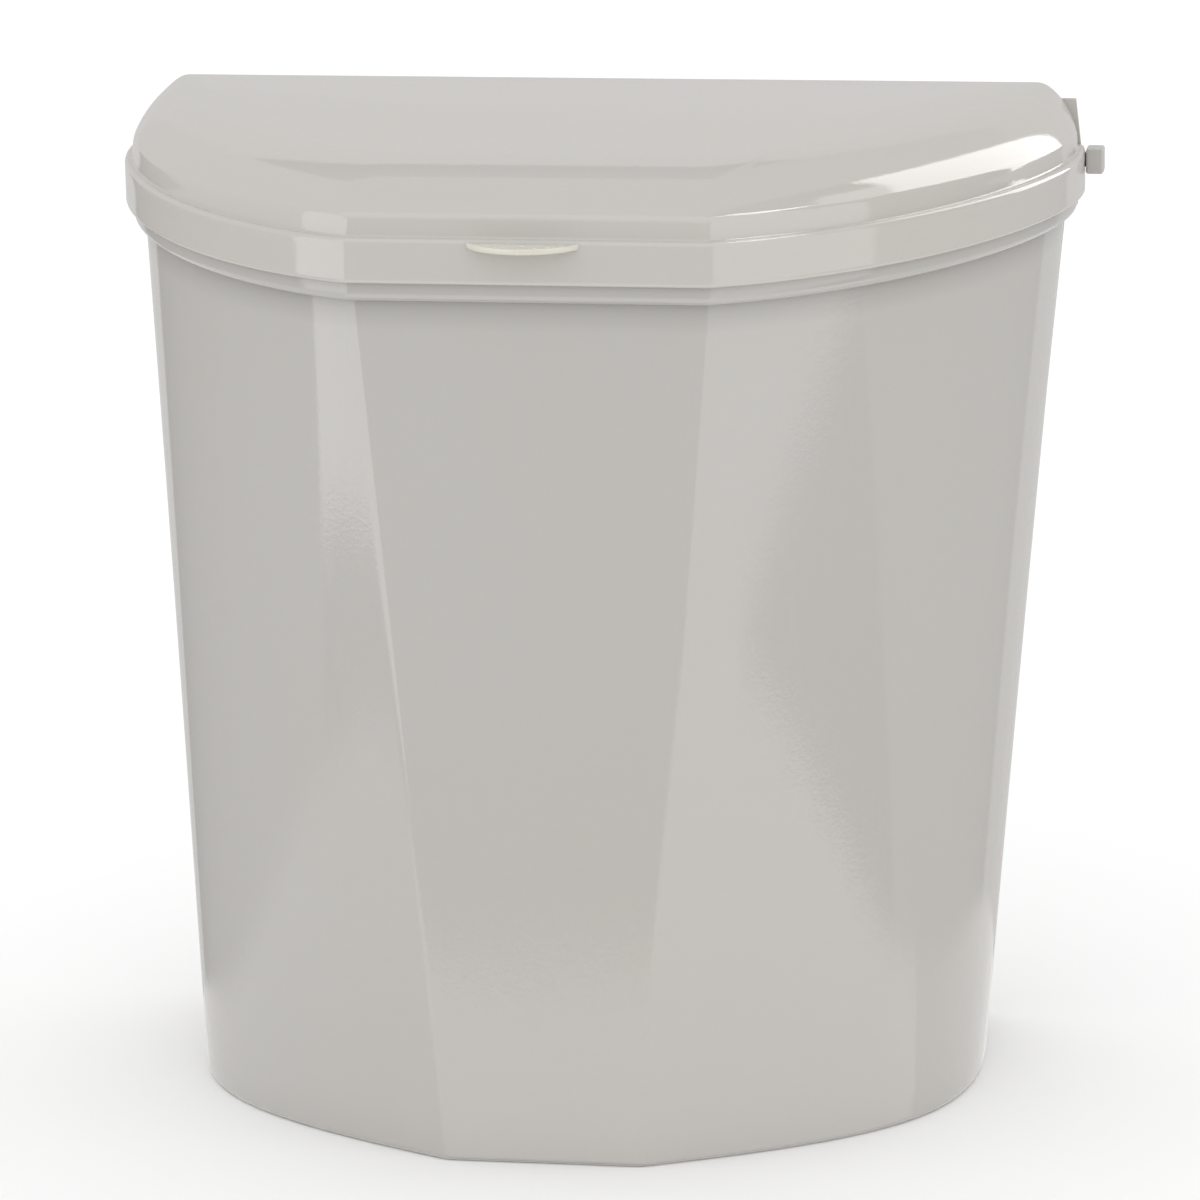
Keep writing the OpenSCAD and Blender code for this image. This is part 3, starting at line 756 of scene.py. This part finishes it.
def patch(name, radiance, az, low, top, steps=10):
    """A softbox or a wall of the room that only shows in reflections: a strip of a wide sphere between
    two azimuths, whose lower and upper edges run between two elevations. Azimuth 0 is the front and
    90 is +X."""
    def at(azimuth, elevation):
        a, e = math.radians(azimuth), math.radians(elevation)
        flat = ROOM_R * math.cos(e)
        return flat * math.sin(a), -flat * math.cos(a), ROOM_R * math.sin(e) + ROOM_Z
    points, faces = [], []
    for i in range(steps + 1):
        t = i / steps
        points += [at(mix(*az, t), mix(mix(*low, t), mix(*top, t), h)) for h in (0, 0.5, 1)]
    for i in range(steps):
        faces += [(3 * i + k, 3 * i + 3 + k, 3 * i + 4 + k, 3 * i + 1 + k) for k in (0, 1)]
    mesh = bpy.data.meshes.new(name)
    mesh.from_pydata(points, [], faces)
    obj = bpy.data.objects.new(name, mesh)
    bpy.context.scene.collection.objects.link(obj)
    mesh.materials.append(glow(name, radiance))
    obj.visible_camera = obj.visible_diffuse = obj.visible_shadow = obj.visible_transmission = False


def studio():
    """An even sky for the shading, and walls, lamps and a window that only reflections see."""
    world = bpy.context.scene.world or bpy.data.worlds.new("studio")
    bpy.context.scene.world = world
    world.use_nodes = True
    sky = world.node_tree.nodes["Background"]
    sky.inputs["Color"].default_value = (1.0, 1.0, 1.0, 1)
    sky.inputs["Strength"].default_value = 1.12
    world.cycles_visibility.glossy = False
    patch("table", 1.6, (-40, 100), (-75, -75), (-19, -19), 16)
    patch("table_left", 0.85, (-180, -40), (-75, -75), (-19, -19), 16)
    patch("table_right", 0.9, (100, 180), (-75, -75), (-19, -19), 12)
    patch("room_left", 0.3, (-147, -76), (-19, -19), (0, 0))
    patch("softbox_left", 2.1, (-76, -20), (-16.5, -18.0), (26, 26))
    patch("room_front", 0.3, (-20, 40), (-19, -19), (16, 16))
    patch("softbox_right", 1.5, (40, 52), (-19.5, -19), (28, 28), 4)
    patch("softbox_right_end", 1.5, (52, 90), (-19, -12), (28, 28))
    patch("room_right", 0.4, (90, 150), (-19, -19), (2, 2))
    patch("backdrop", 0.65, (150, 213), (-19, -19), (30, 30))
    patch("window", 4.5, (127, 150), (2, 2), (44, 50))
    patch("window_edge", 1.6, (108, 140), (44, 44), (56, 56))
    patch("lamp", 9.0, (80, 132), (57, 57), (70, 70))
    patch("overhead_right", 0.5, (150, 182), (30, 30), (89, 89))
    patch("ceiling_gap", 0.22, (182, 208), (30, 30), (44, 44))
    patch("overhead_rear", 0.55, (182, 208), (44, 44), (89, 89))
    patch("overhead_left", 0.6, (208, 284), (0, 0), (89, 89))
    patch("overhead_front", 1.3, (-76, 80), (27, 27), (89, 89))


# Camera: the azimuth runs from the front towards +X; the aim differs from the pivot by the framing.
# Angles in degrees, lengths in metres, the lens in millimetres
CAMERA_AZ, CAMERA_EL, CAMERA_ROLL = 9.07, 14.42, -0.89
CAMERA_DISTANCE, CAMERA_LENS = 1.829, 175.06
PIVOT = Vector((0, 0, 0.156))
AIM_RIGHT, AIM_UP = 0.00767, 0.00203


def camera():
    a, e, r = (math.radians(x) for x in (CAMERA_AZ, CAMERA_EL, CAMERA_ROLL))
    back = Vector((math.sin(a) * math.cos(e), -math.cos(a) * math.cos(e), math.sin(e)))
    side = Vector((math.cos(a), math.sin(a), 0))
    location = PIVOT + back * CAMERA_DISTANCE
    aim = PIVOT + side * AIM_RIGHT + back.cross(side) * AIM_UP
    view = (aim - location).normalized()
    side = view.cross(Vector((0, 0, 1))).normalized()
    up = side.cross(view)
    axes = (side * math.cos(r) + up * math.sin(r), up * math.cos(r) - side * math.sin(r), -view)
    data = bpy.data.cameras.new("camera")
    data.lens, data.sensor_width = CAMERA_LENS, 36.0
    data.clip_start, data.clip_end = 0.05, 60
    obj = bpy.data.objects.new("camera", data)
    obj.matrix_world = Matrix.Translation(location) @ Matrix(axes).transposed().to_4x4()
    bpy.context.scene.collection.objects.link(obj)
    bpy.context.scene.camera = obj


def build():
    tub_m, rim_m, lid_m, lip_m = tub_plastic(), rim_plastic(), lid_plastic(), lip_plastic()
    ring_m, hinge_m, steel_m, rod_m = ring_plastic(), hinge_plastic(), steel(), rod_steel()
    clip_m, fast_m, rubber_m = clip_steel(), fastener(), rubber()
    tub(tub_m)
    collar(rim_m)
    bag_ring(ring_m)
    lid(lid_m)
    finger_lip(lip_m)
    hinge_rod(rod_m)
    for side in ("left", "right"):
        spacer(side, rubber_m)
        refined("hinge_block_" + side, "bin", hinge_m, 0.5)
        refined("knuckle_" + side, "lid_assembly", hinge_m, 0.5)
        refined("stop_plate_" + side, "lid_assembly", hinge_m, 0.35)
        buffer("buffer_front_" + side, rubber_m)
        buffer("buffer_side_" + side, rubber_m)
        boss("buffer_front_" + side, lid_m)
        boss("buffer_side_" + side, lid_m)
    refined("rod_head", "bin", rim_m, 0.7)
    refined("rod_clip", "bin", clip_m, 0.2, 2)
    refined("wall_bracket", "wall_side", steel_m, 0.5)
    refined("hanger_rail", "bin", steel_m, 0.5)
    for node, body in (("hanger_rivets", "bin"), ("spacer_screws", "bin"),
                       ("hinge_block_screws", "bin"), ("knuckle_screws", "lid_assembly")):
        refined(node, body, fast_m, 0.35)


build()
floor()
studio()
camera()
bpy.context.scene.view_settings.view_transform = "Standard"
bpy.context.view_layer.update()
